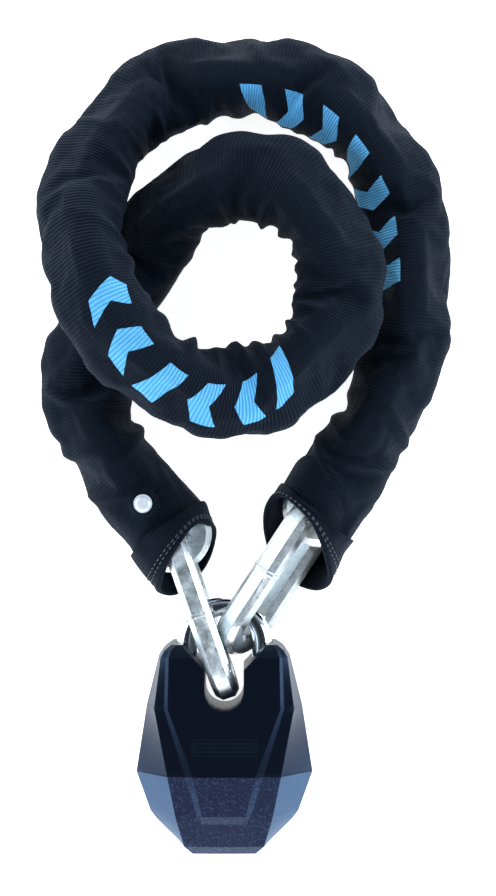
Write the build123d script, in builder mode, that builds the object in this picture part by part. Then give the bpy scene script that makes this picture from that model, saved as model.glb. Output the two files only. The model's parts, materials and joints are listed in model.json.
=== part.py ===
from build123d import *
import os
from math import atan2, degrees, sqrt

# Chain lock: square-bar chain in a fabric sleeve, coiled over itself and closed by a padlock.
# Millimetres, +Z up from the floor. The padlock lies on its flat back face (z = 0), centred
# on x = 0. Its shackle points to +Y, its keyhole to -Y; "front" is +Z and "back" is -Z.
# "Upper" and "top" on the padlock mean towards +Y, "lower" and "bottom" towards -Y.

os.makedirs("parts", exist_ok=True)

# ---- driving dimensions -------------------------------------------------
lock_t = 38.0            # padlock thickness
mid_z = lock_t / 2       # mid-plane of the padlock and the shackle
seam_y = -11.5           # joint between the upper and lower covers
seam_gap = 0.3
notch_r = 9.6            # half width of the slot between the ears
notch_y = 30.2           # centre of the slot's round bottom
lining = 2.0             # cover wall that lines the slot
clear = 0.1              # cover to block, and seal to its recess
over = 1.0               # how far a cut starts or ends outside its piece
through = 60.0           # length of cuts that run out of the piece

bar_d = 10.0             # shackle bar
leg_x = 18.8             # leg centre from the middle
bow_y = 52.0             # centre of the bow
leg_end_y = -4.0
leg_chamfer = 1.0
leg_bore_r = 5.07
leg_bore_end = -6.0

block_z0, block_z1 = 7.5, 30.5
block_top, block_mid, block_bot = 40.0, -18.0, -40.0
block_x, block_x_low = 27.0, 18.0   # half widths above and below block_mid

cyl_r, cyl_bore_r = 9.0, 9.05       # key cylinder and its bore in the block
cyl_y0, cyl_y1 = -39.6, 0.5
cavity_y = 11.5                     # end of the bore, past the cam
ball_r, ball_y, ball_x = 4.5, 6.0, 9.2
ball_bore_r = 4.56
ball_travel = 3.4
pin_r, pin_hole_r = 1.5, 1.55       # retaining pin
pin_inset = 0.3                     # pin ends below the block's faces
pin_place = (cyl_r, -33.0)

seal_r, seal_hole_r, seal_t = 7.0, 5.15, 2.4
seal_recess = 2.6

# cover screws, driven in from the back
upper_screws = [(-leg_x, -6.6), (leg_x, -6.6)]
lower_screws = [(-14, -30), (14, -30)]
upper_seat_z, lower_seat_z = 4.2, 5.0   # bottoms of the counterbores
head_hole_r, shank_hole_r = 3.5, 2.1
shank_hole_z = 11.0
tap_r, tap_end_z = 1.62, 12.7

badge_x, badge_y = 0.3, 3.0
badge_len, badge_w, badge_corner = 33.0, 9.0, 1.0
badge_gap = 0.2                     # around the badge in its pocket
pocket_depth = 1.0


def section_plane(y):
    # across the Y axis on the mid-plane: local y runs to +Z, normal to -Y
    return Plane(origin=(0, y, mid_z), x_dir=(1, 0, 0), z_dir=(0, -1, 0))


def y_plane(y, x=0, z=mid_z):
    # across the Y axis: local y runs to -Z, so extrusions go to +Y
    return Plane(origin=(x, y, z), x_dir=(1, 0, 0), z_dir=(0, 1, 0))


def band(half_width, y0, y1):
    # rectangle centred on x = 0, between two heights
    with Locations((0, (y0 + y1) / 2)):
        Rectangle(2 * half_width, y1 - y0)


# ---- padlock covers -----------------------------------------------------
# Half sections: height y, then (x, distance from the mid-plane) of the
# side edge, facet line, bevel line and plateau edge.
sections = [
    (53.0, (27.0, 1.0), (26.0, 12.5), (24.5, 13.6), (23.5, 14.0)),
    (50.5, (30.3, 1.0), (29.4, 15.6), (27.0, 16.8), (26.0, 17.6)),
    (47.0, (32.6, 1.0), (31.2, 16.4), (28.6, 17.6), (27.2, 19.0)),
    (22.0, (38.8, 1.0), (34.4, 16.8), (29.6, 17.6), (27.6, 19.0)),
    (seam_y, (44.0, 1.0), (28.0, 17.0), (19.2, 17.7), (15.4, 19.0)),
    (-31.0, (37.0, 1.0), (24.0, 16.3), (13.2, 16.9), (10.6, 18.0)),
    (-35.0, (34.0, 1.0), (23.0, 15.9), (11.0, 16.3), (8.6, 16.5)),
    (-46.5, (22.4, 1.0), (19.6, 14.3), (9.0, 14.5), (7.0, 14.6)),
    (-50.5, (17.2, 1.0), (15.6, 11.4), (8.0, 11.6), (6.0, 11.7)),
]

# right side of the slot between the ears: (x, y) from its round bottom to past the ears
notch_side = [(notch_r, notch_y), (notch_r, 41.0), (20.2, 52.2), (21.0, 60)]
ear_hole_r, ear_hole_y0 = 5.5, 30

below_y = -60            # start of the cuts that enter the lower cover from below
keyhole_r, keyhole_end = 6.6, -35
dust_recess_y = -49.4    # floor of the dust cover's recess
dust_recess_place = (10.5, 8.25)
dust_recess_size = (39, 33.5)
pivot_x = 11.0           # rivet of the dust cover
pivot_hole_r, pivot_hole_end = 1.52, -43
dimple_y, dimple_start = -21.5, 0.6
dimple_radii = (7.2, 3.9)
dimple_cut = 1.3


def full_outline(half):
    # mirror a half section left to right and front to back
    front = half + [(-x, depth) for x, depth in reversed(half)]
    back = [(-x, -depth) for x, depth in half] + [(x, -depth) for x, depth in reversed(half)]
    return front + back


def blend(start, end, y):
    # section at height y on the straight lines between two sections
    t = (y - start[0]) / (end[0] - start[0])
    return (y,) + tuple(
        (a[0] + (b[0] - a[0]) * t, a[1] + (b[1] - a[1]) * t)
        for a, b in zip(start[1:], end[1:])
    )


with BuildPart() as cover_upper:
    for y, *half in sections[:4] + [blend(sections[3], sections[4], seam_y + seam_gap)]:
        with BuildSketch(section_plane(y)):
            Polygon(*full_outline(half), align=None)
    loft(ruled=True)
    # slot between the ears, open through the thickness
    with BuildSketch(Plane.XY.offset(-over)):
        with BuildLine():
            Polyline(*[(-x, y) for x, y in notch_side], *reversed(notch_side))
            ThreePointArc((notch_r, notch_y), (0, notch_y - notch_r), (-notch_r, notch_y))
        make_face()
    extrude(amount=lock_t + 2 * over, mode=Mode.SUBTRACT)
    # cavity for the block, with the slot's lining left standing
    lining_r = notch_r + lining
    lining_end = 70
    with BuildSketch(Plane.XY.offset(block_z0 - clear)):
        band(block_x + clear, seam_y - over, block_top + clear)
        with BuildLine():
            Polyline((lining_r, lining_end), (lining_r, notch_y))
            ThreePointArc((lining_r, notch_y), (0, notch_y - lining_r), (-lining_r, notch_y))
            Polyline((-lining_r, notch_y), (-lining_r, lining_end), (lining_r, lining_end))
        make_face(mode=Mode.SUBTRACT)
    extrude(amount=block_z1 - block_z0 + 2 * clear, mode=Mode.SUBTRACT)
    # shackle holes through the ears
    with BuildSketch(y_plane(ear_hole_y0)):
        with Locations((-leg_x, 0), (leg_x, 0)):
            Circle(ear_hole_r)
    extrude(amount=through, mode=Mode.SUBTRACT)
    # badge pocket on the front plateau
    with BuildSketch(Plane.XY.offset(lock_t - pocket_depth)):
        with Locations((badge_x, badge_y)):
            RectangleRounded(
                badge_len + 2 * badge_gap, badge_w + 2 * badge_gap, badge_corner + badge_gap
            )
    extrude(amount=3, mode=Mode.SUBTRACT)
    # counterbored screw holes in the back
    for radius, end_z in ((head_hole_r, upper_seat_z), (shank_hole_r, shank_hole_z)):
        with BuildSketch(Plane.XY.offset(-over)):
            with Locations(*upper_screws):
                Circle(radius)
        extrude(amount=end_z + over, mode=Mode.SUBTRACT)

with BuildPart() as cover_lower:
    for y, *half in sections[4:]:
        with BuildSketch(section_plane(y)):
            Polygon(*full_outline(half), align=None)
    loft(ruled=True)
    # cavity for the block
    with BuildSketch(Plane.XY.offset(block_z0 - clear)):
        band(block_x + clear, block_mid - clear, seam_y + over)
        band(block_x_low + clear, block_bot - clear, seam_y + over)
    extrude(amount=block_z1 - block_z0 + 2 * clear, mode=Mode.SUBTRACT)
    # keyhole
    with BuildSketch(y_plane(below_y)):
        Circle(keyhole_r)
    extrude(amount=keyhole_end - below_y, mode=Mode.SUBTRACT)
    # recess for the swinging dust cover, open to the back
    with BuildSketch(y_plane(below_y)):
        with Locations(dust_recess_place):
            Rectangle(*dust_recess_size)
    extrude(amount=dust_recess_y - below_y, mode=Mode.SUBTRACT)
    # rivet hole of the dust cover
    with BuildSketch(y_plane(below_y)):
        with Locations((pivot_x, 0)):
            Circle(pivot_hole_r)
    extrude(amount=pivot_hole_end - below_y, mode=Mode.SUBTRACT)
    # counterbored screw holes in the back
    for radius, end_z in ((head_hole_r, lower_seat_z), (shank_hole_r, shank_hole_z)):
        with BuildSketch(Plane.XY.offset(-over)):
            with Locations(*lower_screws):
                Circle(radius)
        extrude(amount=end_z + over, mode=Mode.SUBTRACT)
    # faint oval dimple on the front, cut towards the back
    dimple_origin = (0, dimple_y, lock_t + dimple_start)
    with BuildSketch(Plane(origin=dimple_origin, x_dir=(1, 0, 0), z_dir=(0, 0, -1))):
        Ellipse(*dimple_radii)
    extrude(amount=dimple_cut, mode=Mode.SUBTRACT)

# Badge: a plate with a raised rim and three raised bars, flush with the plateau
badge_plate_t, badge_relief = 0.55, 0.4
badge_rim, badge_inner_corner = 0.8, 0.6
bar_pitch, bar_len, bar_w = 2.1, 27.0, 1.0

with BuildPart() as badge:
    with BuildSketch(Plane.XY.offset(lock_t - badge_relief - badge_plate_t)):
        with Locations((badge_x, badge_y)):
            RectangleRounded(badge_len, badge_w, badge_corner)
    extrude(amount=badge_plate_t)
    with BuildSketch(Plane.XY.offset(lock_t - badge_relief)):
        with Locations((badge_x, badge_y)):
            RectangleRounded(badge_len, badge_w, badge_corner)
            RectangleRounded(
                badge_len - 2 * badge_rim, badge_w - 2 * badge_rim, badge_inner_corner,
                mode=Mode.SUBTRACT,
            )
        with Locations(*[(badge_x, badge_y + i * bar_pitch) for i in (-1, 0, 1)]):
            SlotOverall(bar_len, bar_w)
    extrude(amount=badge_relief)

# ---- lock block ---------------------------------------------------------
with BuildPart() as lock_body:
    with BuildSketch(Plane.XY.offset(block_z0)):
        band(block_x, block_mid, block_top)
        band(block_x_low, block_bot, block_mid)
        # notch around the covers' slot lining
        fork_r = notch_r + lining + clear
        with BuildLine():
            Polyline((fork_r, notch_y), (fork_r, 60), (-fork_r, 60), (-fork_r, notch_y))
            ThreePointArc((-fork_r, notch_y), (0, notch_y - fork_r), (fork_r, notch_y))
        make_face(mode=Mode.SUBTRACT)
    extrude(amount=block_z1 - block_z0)
    # leg bores, then the seal recesses at their mouths
    for start_y, radius in (
        (leg_bore_end, leg_bore_r), (block_top - seal_recess, seal_r + clear)
    ):
        with BuildSketch(y_plane(start_y)):
            with Locations((-leg_x, 0), (leg_x, 0)):
                Circle(radius)
        extrude(amount=through, mode=Mode.SUBTRACT)
    # cylinder bore, with the cam cavity above it
    bore_start = block_bot - 10
    with BuildSketch(y_plane(bore_start)):
        Circle(cyl_bore_r)
    extrude(amount=cavity_y - bore_start, mode=Mode.SUBTRACT)
    # cross bore for the locking balls, from leg to leg
    with BuildSketch(Plane(origin=(-leg_x, ball_y, mid_z), x_dir=(0, 1, 0), z_dir=(1, 0, 0))):
        Circle(ball_bore_r)
    extrude(amount=2 * leg_x, mode=Mode.SUBTRACT)
    # cross hole for the cylinder's retaining pin
    with BuildSketch(Plane.XY.offset(block_z0 - over)):
        with Locations(pin_place):
            Circle(pin_hole_r)
    extrude(amount=through, mode=Mode.SUBTRACT)
    # tapped holes for the cover screws
    with BuildSketch(Plane.XY.offset(block_z0 - over)):
        with Locations(*upper_screws, *lower_screws):
            Circle(tap_r)
    extrude(amount=tap_end_z - block_z0 + over, mode=Mode.SUBTRACT)

# ---- key cylinder -------------------------------------------------------
plug_r, plug_bore_r = 6.0, 6.05
barrel_r = 5.0           # inside of the plug
plug_inset = 1.6         # plug starts this far inside the housing
barrel_depth = 30.0
sidebar_y0, sidebar_len = -29.8, 21.6
sidebar_w, sidebar_h, sidebar_offset = 1.5, 1.7, 4.95
sidebar_play = 0.2       # at each end of its slot in the plug
groove_y0, groove_len = -30.5, 25
groove_w, groove_h, groove_offset = 1.7, 2.2, 6.0
slot_w, slot_h, slot_offset = 1.64, 4.0, 4.5
tang_w, tang_len = 4.0, 6.5
cam_hole_w = 4.08
cam_y0, cam_y1 = 1.2, 10.6
cam_radii = (4.4, 7.4)   # along X and Z
keyway_w, keyway_r = 2.2, 2.0
plate_r, plate_t, plate_inset, plate_keyway_len = 5.95, 1.4, 0.1, 6.6
disc_r, disc_t, disc_pitch, disc_count = 4.92, 2.2, 2.7, 10
disc_y0 = cyl_y0 + 1.8
disc_keyway_len = 6.2
gate_w, gate_h, gate_offset = 1.8, 1.9, 4.7   # notch under the sidebar

with BuildPart() as cylinder_housing:
    with BuildSketch(y_plane(cyl_y0)):
        Circle(cyl_r)
        Circle(plug_bore_r, mode=Mode.SUBTRACT)
    extrude(amount=cyl_y1 - cyl_y0)
    # groove the sidebar drops into when the lock is shut
    with BuildSketch(y_plane(groove_y0, z=mid_z + groove_offset)):
        Rectangle(groove_w, groove_h)
    extrude(amount=groove_len, mode=Mode.SUBTRACT)
    with BuildSketch(Plane.XY.offset(block_z0 - over)):
        with Locations(pin_place):
            Circle(pin_hole_r)
    extrude(amount=through, mode=Mode.SUBTRACT)

with BuildPart() as plug:
    with BuildSketch(y_plane(cyl_y0 + plug_inset)):
        Circle(plug_r)
    extrude(amount=cyl_y1 - cyl_y0 - plug_inset)
    with BuildSketch(y_plane(cyl_y0)):
        Circle(barrel_r)
    extrude(amount=plug_inset + barrel_depth, mode=Mode.SUBTRACT)
    # sidebar slot through the wall
    with BuildSketch(y_plane(sidebar_y0 - sidebar_play, z=mid_z + slot_offset)):
        Rectangle(slot_w, slot_h)
    extrude(amount=sidebar_len + 2 * sidebar_play, mode=Mode.SUBTRACT)
    # square tang that drives the cam
    with BuildSketch(y_plane(cyl_y1)):
        Rectangle(tang_w, tang_w)
    extrude(amount=tang_len)

with BuildPart() as anti_drill_plate:
    with BuildSketch(y_plane(cyl_y0 + plate_inset)):
        Circle(plate_r)
        Rectangle(keyway_w, plate_keyway_len, mode=Mode.SUBTRACT)
        Circle(keyway_r, mode=Mode.SUBTRACT)
    extrude(amount=plate_t)

with BuildPart() as lock_discs:
    for i in range(disc_count):
        with BuildSketch(y_plane(disc_y0 + i * disc_pitch)):
            Circle(disc_r)
            Rectangle(keyway_w, disc_keyway_len, mode=Mode.SUBTRACT)
            Circle(keyway_r, mode=Mode.SUBTRACT)
            with Locations((0, -gate_offset)):
                Rectangle(gate_w, gate_h, mode=Mode.SUBTRACT)
        extrude(amount=disc_t)

with BuildPart() as sidebar:
    with BuildSketch(y_plane(sidebar_y0, z=mid_z + sidebar_offset)):
        Rectangle(sidebar_w, sidebar_h)
    extrude(amount=sidebar_len)

with BuildPart() as cam:
    with BuildSketch(y_plane(cam_y0)):
        Ellipse(*cam_radii)
        Rectangle(cam_hole_w, cam_hole_w, mode=Mode.SUBTRACT)
    extrude(amount=cam_y1 - cam_y0)

with BuildPart() as retaining_pin:
    with BuildSketch(Plane.XY.offset(block_z0 + pin_inset)):
        with Locations(pin_place):
            Circle(pin_r)
    extrude(amount=block_z1 - block_z0 - 2 * pin_inset)


# ---- balls, seals, screws, dust cover -----------------------------------
def make_ball(x):
    with BuildPart() as ball:
        with Locations((x, ball_y, mid_z)):
            Sphere(ball_r)
    return ball


def make_seal(x):
    with BuildPart() as seal:
        with BuildSketch(y_plane(block_top - seal_recess + clear)):
            with Locations((x, 0)):
                Circle(seal_r)
                Circle(seal_hole_r, mode=Mode.SUBTRACT)
        extrude(amount=seal_t)
    return seal


screw_head_r, screw_shank_r = 3.2, 1.56
socket_r, socket_depth = 1.4, 1.3    # hexagon socket
head_floor = 0.9                     # solid part of the head under the socket
seat_gap = 0.2                       # between head and counterbore floor
screw_end_z = 12.4

with BuildPart() as cover_screws:
    for places, seat_z in ((upper_screws, upper_seat_z), (lower_screws, lower_seat_z)):
        shank_z = seat_z - seat_gap
        floor_z = shank_z - head_floor
        for place in places:
            with BuildSketch(Plane.XY.offset(floor_z - socket_depth)):
                with Locations(place):
                    Circle(screw_head_r)
                    RegularPolygon(socket_r, 6, mode=Mode.SUBTRACT)
            extrude(amount=socket_depth)
            with BuildSketch(Plane.XY.offset(floor_z)):
                with Locations(place):
                    Circle(screw_head_r)
            extrude(amount=head_floor)
            with BuildSketch(Plane.XY.offset(shank_z)):
                with Locations(place):
                    Circle(screw_shank_r)
            extrude(amount=screw_end_z - shank_z)

dust_y0, dust_t = -50.7, 1.2
dust_r, dust_eye_r, dust_eye_hole_r = 7.2, 3.6, 1.56
dust_arm_x, dust_arm_size = 5.8, (9.6, 6.6)
pivot_y0, pivot_r, pivot_len = -50.8, 1.5, 7.0
pivot_head_r, pivot_head_t = 2.6, 0.6

with BuildPart() as keyhole_cover:
    with BuildSketch(y_plane(dust_y0)):
        Circle(dust_r)
        with Locations((pivot_x, 0)):
            Circle(dust_eye_r)
        with Locations((dust_arm_x, 0)):
            Rectangle(*dust_arm_size)
        with Locations((pivot_x, 0)):
            Circle(dust_eye_hole_r, mode=Mode.SUBTRACT)
    extrude(amount=dust_t)

with BuildPart() as keyhole_cover_rivet:
    with BuildSketch(y_plane(pivot_y0)):
        with Locations((pivot_x, 0)):
            Circle(pivot_r)
    extrude(amount=pivot_len)
    with BuildSketch(y_plane(pivot_y0 - pivot_head_t)):
        with Locations((pivot_x, 0)):
            Circle(pivot_head_r)
    extrude(amount=pivot_head_t)

# ---- shackle ------------------------------------------------------------
pocket_clear = 0.3       # ball pocket over ball radius

with BuildPart() as shackle:
    with BuildLine() as shackle_path:
        Line((-leg_x, leg_end_y, mid_z), (-leg_x, bow_y, mid_z))
        ThreePointArc((-leg_x, bow_y, mid_z), (0, bow_y + leg_x, mid_z), (leg_x, bow_y, mid_z))
        Line((leg_x, bow_y, mid_z), (leg_x, leg_end_y, mid_z))
    with BuildSketch(y_plane(leg_end_y, x=-leg_x)):
        Circle(bar_d / 2)
    sweep(path=shackle_path.wires()[0])
    chamfer(shackle.faces().sort_by(Axis.Y)[:2].edges(), leg_chamfer)
    # pockets the balls enter when the key locks
    for side in (-1, 1):
        with Locations((side * (ball_x + ball_travel), ball_y, mid_z)):
            Sphere(ball_r + pocket_clear, mode=Mode.SUBTRACT)

# ---- chain --------------------------------------------------------------
link_bar = 12.0          # square chain bar
link_chamfer = 2.75
link_gap = 15.0          # inside width of a link
link_inner = 40.0        # inside length of a hidden link
end_inner = 70.0         # inside length of the two end links
weld_len, weld_rise = 1.6, 0.35

# chain links: centre, direction along the link, normal of the link's flat
links = [
    ((-12.597, 69.562, 21.549), (-0.32342, 0.94372, 0.06928), (0.94617, 0.32352, 0.00995)),
    ((-34.053, 117.104, 23.658), (-0.66106, 0.75033, -0.00350), (-0.00665, -0.00119, 0.99998)),
    ((-55.189, 148.394, 23.602), (-0.49495, 0.86892, 0.00185), (0.86892, 0.49495, -0.00129)),
    ((-68.173, 181.953, 23.702), (-0.03547, 0.99932, -0.01018), (0.00125, 0.01023, 0.99995)),
    ((-56.862, 216.637, 21.991), (0.45026, 0.88965, -0.07601), (0.89248, -0.45100, 0.00811)),
    ((-39.161, 247.881, 25.537), (0.52574, 0.83043, 0.18434), (-0.12911, -0.13630, 0.98222)),
    ((-13.320, 269.531, 34.326), (0.79624, 0.50185, 0.33787), (0.52596, -0.85019, 0.02332)),
    ((18.156, 280.248, 44.635), (0.94207, -0.18895, 0.27713), (-0.27779, 0.02351, 0.96035)),
    ((42.044, 257.484, 50.482), (0.56060, -0.82435, 0.07856), (-0.82515, -0.56407, -0.03075)),
    ((55.323, 225.129, 51.503), (-0.09146, -0.99573, 0.01260), (-0.00130, 0.01277, 0.99992)),
    ((36.401, 196.219, 53.648), (-0.70635, -0.69465, 0.13612), (-0.70069, 0.71345, 0.00493)),
    ((7.610, 177.473, 60.666), (-0.96304, -0.09930, 0.25040), (0.24806, 0.03545, 0.96810)),
    ((-24.210, 188.150, 69.864), (-0.83248, 0.46507, 0.30114), (0.48710, 0.87335, -0.00222)),
    ((-51.969, 209.367, 73.180), (-0.56632, 0.82384, -0.02375), (0.05008, 0.06316, 0.99675)),
    ((-63.475, 242.935, 67.302), (-0.19169, 0.89286, -0.40750), (0.98138, 0.17943, -0.06853)),
    ((-66.329, 275.532, 50.629), (0.16002, 0.85611, -0.49140), (0.11759, 0.47774, 0.87060)),
    ((-51.462, 302.632, 34.196), (0.53260, 0.74060, -0.40970), (0.81615, -0.57759, 0.01690)),
    ((-26.970, 327.181, 25.166), (0.89570, 0.41571, -0.15780), (0.12673, 0.10152, 0.98673)),
    ((8.677, 331.637, 22.190), (0.99968, -0.00947, 0.02341), (-0.00951, -0.99995, 0.00161)),
    ((44.057, 326.634, 23.644), (0.90360, -0.42704, 0.03391), (-0.03009, 0.01568, 0.99942)),
    ((69.989, 301.373, 24.056), (0.60368, -0.79716, -0.01026), (-0.79720, -0.60371, -0.00022)),
    ((87.932, 270.618, 23.493), (0.24269, -0.96998, -0.01525), (0.00452, -0.01459, 0.99988)),
    ((91.321, 234.745, 23.161), (0.01528, -0.99988, -0.00099), (-0.99988, -0.01528, -0.00010)),
    ((88.315, 197.649, 23.371), (-0.26059, -0.96501, 0.02906), (-0.01446, 0.03400, 0.99932)),
    ((73.404, 163.365, 23.297), (-0.46404, -0.88456, -0.04701), (-0.87232, 0.46556, -0.14936)),
    ((55.191, 130.814, 23.799), (-0.51365, -0.85689, 0.04375), (-0.22474, 0.18357, 0.95697)),
    ((26.851, 87.357, 21.660), (-0.53954, -0.83582, -0.10154), (-0.72065, 0.52079, -0.45765)),
]


def make_link(origin, along, normal, inner, weld):
    flat = Plane(origin=origin, x_dir=along, z_dir=normal)
    with BuildPart() as link:
        with BuildSketch(flat):
            SlotOverall(inner + 2 * link_bar, link_gap + 2 * link_bar)
            SlotOverall(inner, link_gap, mode=Mode.SUBTRACT)
        extrude(amount=link_bar / 2, both=True)
        caps = link.faces().filter_by(lambda f: abs(f.normal_at().dot(flat.z_dir)) > 0.99)
        chamfer(caps.edges(), link_chamfer)
        if weld:
            # flash left by the butt weld, mid-way along one side bar
            start = flat.from_local_coords(Vector(-weld_len / 2, (link_gap + link_bar) / 2, 0))
            edge = link_bar / 2 + weld_rise
            cut = edge - link_chamfer
            with BuildSketch(Plane(origin=start, x_dir=flat.y_dir, z_dir=flat.x_dir)):
                Polygon(
                    (edge, cut), (cut, edge), (-cut, edge), (-edge, cut),
                    (-edge, -cut), (-cut, -edge), (cut, -edge), (edge, -cut), align=None,
                )
            extrude(amount=weld_len)
    return link


# ---- sleeve, cuffs, rivets ----------------------------------------------
sleeve_out, sleeve_in = 22.2, 21.56   # radii
cuff_out, cuff_in = 23.3, 22.3
rivet_r, rivet_rim_t = 4.5, 0.9
crown_inset, crown_t, crown_taper = 0.8, 1.2, 35
washer_inset, washer_t = 0.6, 0.8
rivet_shank_r, rivet_hole_r, rivet_hole_cut = 1.4, 1.6, 4

# sleeve centreline, left mouth to right mouth: point and direction at each node
sleeve_nodes = [
    ((-18.7191, 94.4033, 24.0080), (-0.541528, 0.839661, 0.041429)),
    ((-31.1342, 112.3286, 24.0532), (-0.595716, 0.802330, -0.037285)),
    ((-49.1980, 136.2750, 23.5136), (-0.582013, 0.813179, -0.000291)),
    ((-63.7201, 162.4207, 23.7101), (-0.341663, 0.939790, 0.007860)),
    ((-67.1592, 191.9220, 23.6391), (0.137367, 0.990353, -0.018221)),
    ((-56.3913, 219.6760, 22.7176), (0.517108, 0.855659, -0.021160)),
    ((-40.1837, 244.8270, 24.3347), (0.544605, 0.825876, 0.146062)),
    ((-21.8975, 267.4684, 31.1695), (0.708245, 0.641680, 0.294339)),
    ((2.9221, 280.5726, 40.7855), (0.930196, 0.179918, 0.319945)),
    ((30.7643, 275.5049, 48.4307), (0.840978, -0.515073, 0.165698)),
    ((49.9934, 253.2001, 50.9915), (0.420918, -0.906659, 0.028253)),
    ((54.9405, 223.9862, 51.4630), (-0.111083, -0.993592, 0.020856)),
    ((43.2448, 196.8869, 53.1120), (-0.640719, -0.761321, 0.099345)),
    ((19.0795, 180.3869, 57.7692), (-0.925854, -0.313384, 0.211152)),
    ((-9.5645, 178.9707, 65.2490), (-0.938576, 0.216128, 0.269007)),
    ((-35.2631, 192.0898, 72.4437), (-0.757260, 0.627093, 0.182516)),
    ((-54.4773, 214.7536, 74.3789), (-0.512779, 0.854914, -0.078604)),
    ((-65.4981, 242.4708, 66.9447), (-0.192080, 0.903939, -0.382098)),
    ((-66.7274, 269.0805, 53.4123), (0.104356, 0.867759, -0.485906)),
    ((-59.2670, 294.3450, 39.2932), (0.397734, 0.807662, -0.435304)),
    ((-42.4752, 316.4026, 28.3656), (0.723768, 0.631543, -0.278053)),
    ((-16.8085, 330.4226, 22.9942), (0.953785, 0.287981, -0.085802)),
    ((12.8334, 333.7265, 22.3742), (0.997775, -0.060802, 0.027353)),
    ((41.8545, 326.8573, 23.5950), (0.914365, -0.403113, 0.037892)),
    ((66.1013, 309.5567, 24.1114), (0.680744, -0.732517, -0.002583)),
    ((82.2800, 284.4604, 23.7401), (0.400518, -0.916126, -0.017295)),
    ((90.5021, 255.6949, 23.2862), (0.154287, -0.987968, -0.010708)),
    ((91.8774, 225.7802, 23.1691), (-0.058224, -0.998299, 0.003147)),
    ((87.2095, 196.1915, 23.4356), (-0.250295, -0.968082, 0.013024)),
    ((77.0082, 168.0251, 23.7934), (-0.426822, -0.904307, 0.007205)),
    ((62.0588, 142.0438, 23.7633), (-0.554338, -0.832266, -0.006592)),
    ((45.0985, 117.2972, 23.8509), (-0.546065, -0.837376, 0.024787)),
    ((36.1321, 101.7335, 24.8006), (-0.433745, -0.896853, 0.086719)),
]
# centreline point and direction at each rivet
rivet_nodes = {
    "left": ((-38.9816, 122.6874, 23.6743), (-0.608646, 0.793183, -0.020263)),
    "right": ((52.4107, 128.0453, 23.6955), (-0.572120, -0.820168, 0.001928)),
}


def arc_tube(start, tangent, end, r_out, r_in):
    # tube along the circular arc that leaves start along tangent and stops at end
    chord = end - start
    inward = (chord - tangent * chord.dot(tangent)).normalized()
    radius = chord.dot(chord) / (2 * chord.dot(inward))
    angle = 2 * atan2(chord.dot(inward), chord.dot(tangent))
    axis = Axis(start + inward * radius, tangent.cross(inward))
    with BuildPart(mode=Mode.PRIVATE) as tube:
        with BuildSketch(Plane(origin=start, x_dir=inward, z_dir=tangent)):
            Circle(r_out)
            Circle(r_in, mode=Mode.SUBTRACT)
        revolve(axis=axis, revolution_arc=degrees(angle))
    return tube.part


def tube_segments(nodes, r_out, r_in):
    # two tangent arcs between each pair of nodes
    tubes = []
    for (p0, t0), (p1, t1) in zip(nodes[:-1], nodes[1:]):
        p0, p1 = Vector(*p0), Vector(*p1)
        t0, t1 = Vector(*t0).normalized(), Vector(*t1).normalized()
        span, t_sum, bend = p1 - p0, t0 + t1, 1 - t0.dot(t1)
        along = span.dot(t_sum)
        reach = (-along + sqrt(along ** 2 + 2 * bend * span.dot(span))) / (2 * bend)
        middle = (p0 + p1 + (t0 - t1) * reach) * 0.5
        tubes.append(arc_tube(p0, t0, middle, r_out, r_in))
        # direction at the middle point, mirrored from t0 about the first chord
        chord = (middle - p0).normalized()
        t_mid = chord * (2 * chord.dot(t0)) - t0
        tubes.append(arc_tube(middle, t_mid, p1, r_out, r_in))
    return tubes


def rivet_planes(side):
    # planes just outside and just inside the sleeve wall, facing outwards
    position, tangent = (Vector(*v) for v in rivet_nodes[side])
    out = (Vector(0, 0, 1) - tangent * tangent.Z).normalized()
    if side == "right":
        # this one sits low on the outer side
        out = (tangent.cross(out) * -0.87 - out * 0.5).normalized()
    return [
        Plane(origin=position + out * distance, x_dir=tangent, z_dir=out)
        for distance in (sleeve_out + 0.05, sleeve_in - 0.75)
    ]


def make_rivet(side):
    outer, inner = rivet_planes(side)
    with BuildPart() as rivet:
        with BuildSketch(outer):
            Circle(rivet_r)
        extrude(amount=rivet_rim_t)
        with BuildSketch(outer.offset(rivet_rim_t)):
            Circle(rivet_r - crown_inset)
        extrude(amount=crown_t, taper=crown_taper)
        with BuildSketch(inner.offset(-washer_t)):
            Circle(rivet_r - washer_inset)
        extrude(amount=washer_t)
        with BuildSketch(inner):
            Circle(rivet_shank_r)
        extrude(amount=sleeve_out - sleeve_in + 0.9)
    return rivet


def make_cuff(nodes):
    with BuildPart() as cuff:
        add(tube_segments(nodes, cuff_out, cuff_in))
    return cuff


with BuildPart() as sleeve:
    add(tube_segments(sleeve_nodes, sleeve_out, sleeve_in))
    for side in rivet_nodes:
        with BuildSketch(rivet_planes(side)[1]):
            Circle(rivet_hole_r)
        extrude(amount=rivet_hole_cut, mode=Mode.SUBTRACT)

# ---- export -------------------------------------------------------------
pieces = {
    "cover_upper": cover_upper, "cover_lower": cover_lower, "badge": badge,
    "lock_body": lock_body, "cylinder_housing": cylinder_housing, "plug": plug,
    "anti_drill_plate": anti_drill_plate, "lock_discs": lock_discs, "sidebar": sidebar,
    "cam": cam, "retaining_pin": retaining_pin, "cover_screws": cover_screws,
    "keyhole_cover": keyhole_cover, "keyhole_cover_rivet": keyhole_cover_rivet,
    "shackle": shackle, "sleeve": sleeve,
    "cuff_left": make_cuff(sleeve_nodes[:2]), "cuff_right": make_cuff(sleeve_nodes[-2:]),
}
for side, sign in (("left", -1), ("right", 1)):
    pieces["locking_ball_" + side] = make_ball(sign * ball_x)
    pieces["shackle_seal_" + side] = make_seal(sign * leg_x)
    pieces["rivet_" + side] = make_rivet(side)

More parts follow.
